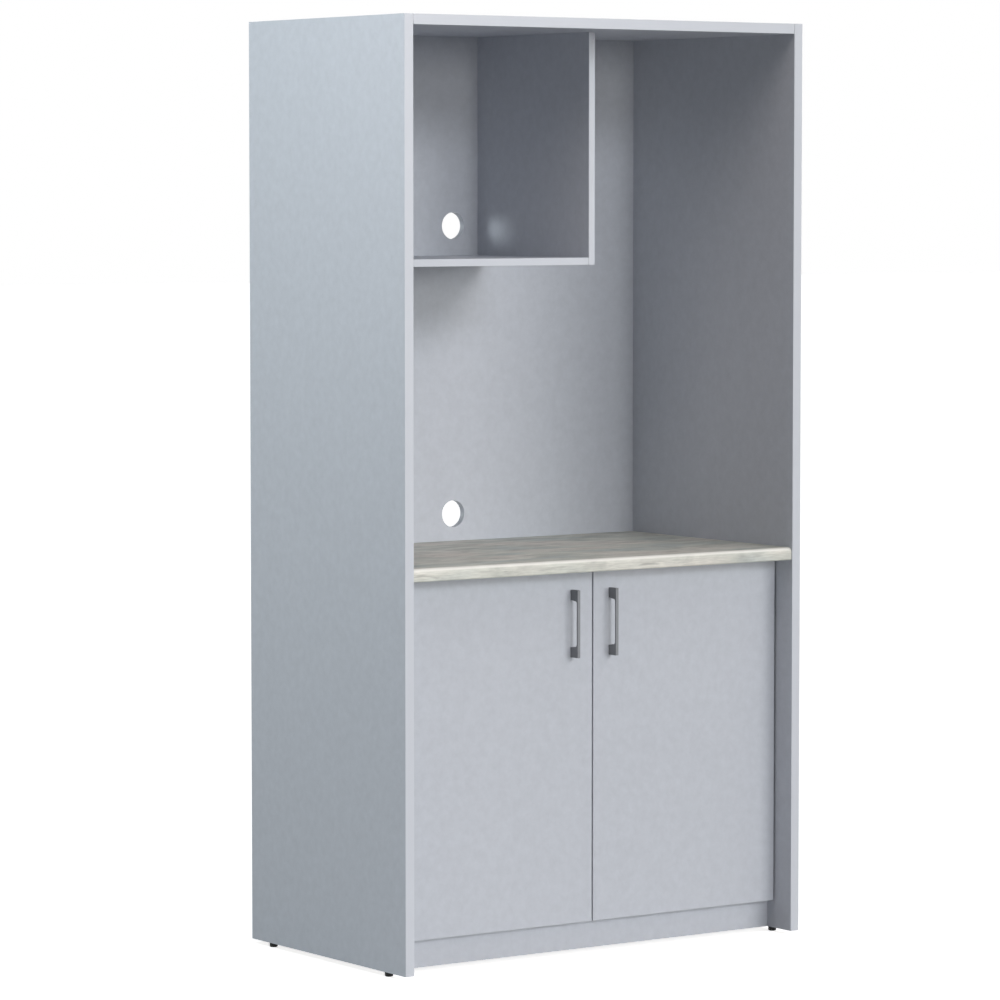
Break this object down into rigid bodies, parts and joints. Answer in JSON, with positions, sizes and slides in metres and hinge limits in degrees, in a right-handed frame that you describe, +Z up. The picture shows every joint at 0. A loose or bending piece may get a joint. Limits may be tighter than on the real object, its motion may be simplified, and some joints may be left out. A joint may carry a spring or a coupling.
{
  "type": "dish cabinet",
  "caption": "Tall kitchen cabinet with an open bay, an upper niche, a worktop and a base closed by hinged doors.",
  "frame": {"origin": "on the floor, at the middle of the cabinet's outline", "axes": "+Z up, -Y is the front with the doors, +X to the right seen from the front"},
  "size_m": [1.044, 0.6, 2],
  "materials": {
    "board": "chipboard faced with fine textured light blue-grey melamine",
    "door_board": "chipboard faced with fine textured light blue-grey melamine",
    "edge_band": "light blue-grey plastic edge band",
    "worktop": "chipboard with matt laminate in streaked grey and beige stone",
    "handle_metal": "satin dark grey metal",
    "foot": "black plastic",
    "dowel": "beech",
    "zinc": "zinc die casting",
    "screw_steel": "bright zinc plated steel",
    "hinge_steel": "nickel plated steel"
  },
  "bodies": {
    "carcass": {"back_panel": "board", "base_shelf": "board", "bottom_panel": "board", "cam_bolts": "screw_steel", "cam_locks": "zinc", "carcass_edge_bands": "edge_band", "dowels": "dowel", "foot_inserts": "zinc", "front_stretcher": "board", "hinge_arm_pins": "screw_steel", "hinge_arm_screws": "screw_steel", "hinge_plate_screws": "screw_steel", "left_lower_hinge_arm": "hinge_steel", "left_mounting_plates": "hinge_steel", "left_side_panel": "board", "left_upper_hinge_arm": "hinge_steel", "niche_divider": "board", "niche_shelf": "board", "plinth": "board", "rear_stretcher": "board", "right_lower_hinge_arm": "hinge_steel", "right_mounting_plates": "hinge_steel", "right_side_panel": "board", "right_upper_hinge_arm": "hinge_steel", "shelf_pins": "screw_steel", "top_panel": "board", "worktop": "worktop", "worktop_screws": "screw_steel"},
    "left_outer_links": {"left_lower_outer_link": "hinge_steel", "left_upper_outer_link": "hinge_steel"},
    "left_inner_links": {"left_lower_inner_link": "hinge_steel", "left_upper_inner_link": "hinge_steel", "left_slide_pins": "screw_steel"},
    "left_door": {"left_door": "door_board", "left_door_edge_bands": "edge_band", "left_handle": "handle_metal", "left_handle_screws": "screw_steel", "left_cup_pins": "screw_steel", "left_cup_screws": "screw_steel", "left_lower_hinge_cup": "hinge_steel", "left_upper_hinge_cup": "hinge_steel"},
    "right_outer_links": {"right_lower_outer_link": "hinge_steel", "right_upper_outer_link": "hinge_steel"},
    "right_inner_links": {"right_lower_inner_link": "hinge_steel", "right_upper_inner_link": "hinge_steel", "right_slide_pins": "screw_steel"},
    "right_door": {"right_door": "door_board", "right_door_edge_bands": "edge_band", "right_handle": "handle_metal", "right_handle_screws": "screw_steel", "right_cup_pins": "screw_steel", "right_cup_screws": "screw_steel", "right_lower_hinge_cup": "hinge_steel", "right_upper_hinge_cup": "hinge_steel"},
    "front_left_foot": {"front_left_foot": "foot"},
    "rear_left_foot": {"rear_left_foot": "foot"},
    "front_right_foot": {"front_right_foot": "foot"},
    "rear_right_foot": {"rear_right_foot": "foot"}
  },
  "joints": [
    {"name": "left_outer_link_turn", "type": "hinge", "parent": "carcass", "child": "left_outer_links", "pos_m": [-0.4665, -0.203, 0.4495], "axis": [0, 0, -1], "range_deg": [-21.7, 0]},
    {"name": "left_door_turn", "type": "hinge", "parent": "left_outer_links", "child": "left_door", "pos_m": [-0.4865, -0.2287, 0.4495], "axis": [0, 0, -1], "range_deg": [0, 111.6]},
    {"name": "left_inner_link_turn", "type": "hinge", "parent": "carcass", "child": "left_inner_links", "pos_m": [-0.471, -0.209, 0.4495], "axis": [0, 0, -1], "range_deg": [-5.9, 0]},
    {"name": "right_outer_link_turn", "type": "hinge", "parent": "carcass", "child": "right_outer_links", "pos_m": [0.4665, -0.203, 0.4495], "axis": [0, 0, 1], "range_deg": [-21.7, 0]},
    {"name": "right_door_turn", "type": "hinge", "parent": "right_outer_links", "child": "right_door", "pos_m": [0.4865, -0.2287, 0.4495], "axis": [0, 0, 1], "range_deg": [0, 111.6]},
    {"name": "right_inner_link_turn", "type": "hinge", "parent": "carcass", "child": "right_inner_links", "pos_m": [0.471, -0.209, 0.4495], "axis": [0, 0, 1], "range_deg": [-5.9, 0]},
    {"name": "front_left_foot_travel", "type": "slide", "parent": "carcass", "child": "front_left_foot", "axis": [0, 0, -1], "range_m": [0, 0.01]},
    {"name": "rear_left_foot_travel", "type": "slide", "parent": "carcass", "child": "rear_left_foot", "axis": [0, 0, -1], "range_m": [0, 0.01]},
    {"name": "front_right_foot_travel", "type": "slide", "parent": "carcass", "child": "front_right_foot", "axis": [0, 0, -1], "range_m": [0, 0.01]},
    {"name": "rear_right_foot_travel", "type": "slide", "parent": "carcass", "child": "rear_right_foot", "axis": [0, 0, -1], "range_m": [0, 0.01]}
  ],
  "couplings": [
    {"joint": "left_outer_link_turn", "follows": "left_door_turn", "ratio": -0.19355},
    {"joint": "left_inner_link_turn", "follows": "left_door_turn", "ratio": -0.052419},
    {"joint": "right_outer_link_turn", "follows": "right_door_turn", "ratio": -0.19355},
    {"joint": "right_inner_link_turn", "follows": "right_door_turn", "ratio": -0.052419}
  ]
}
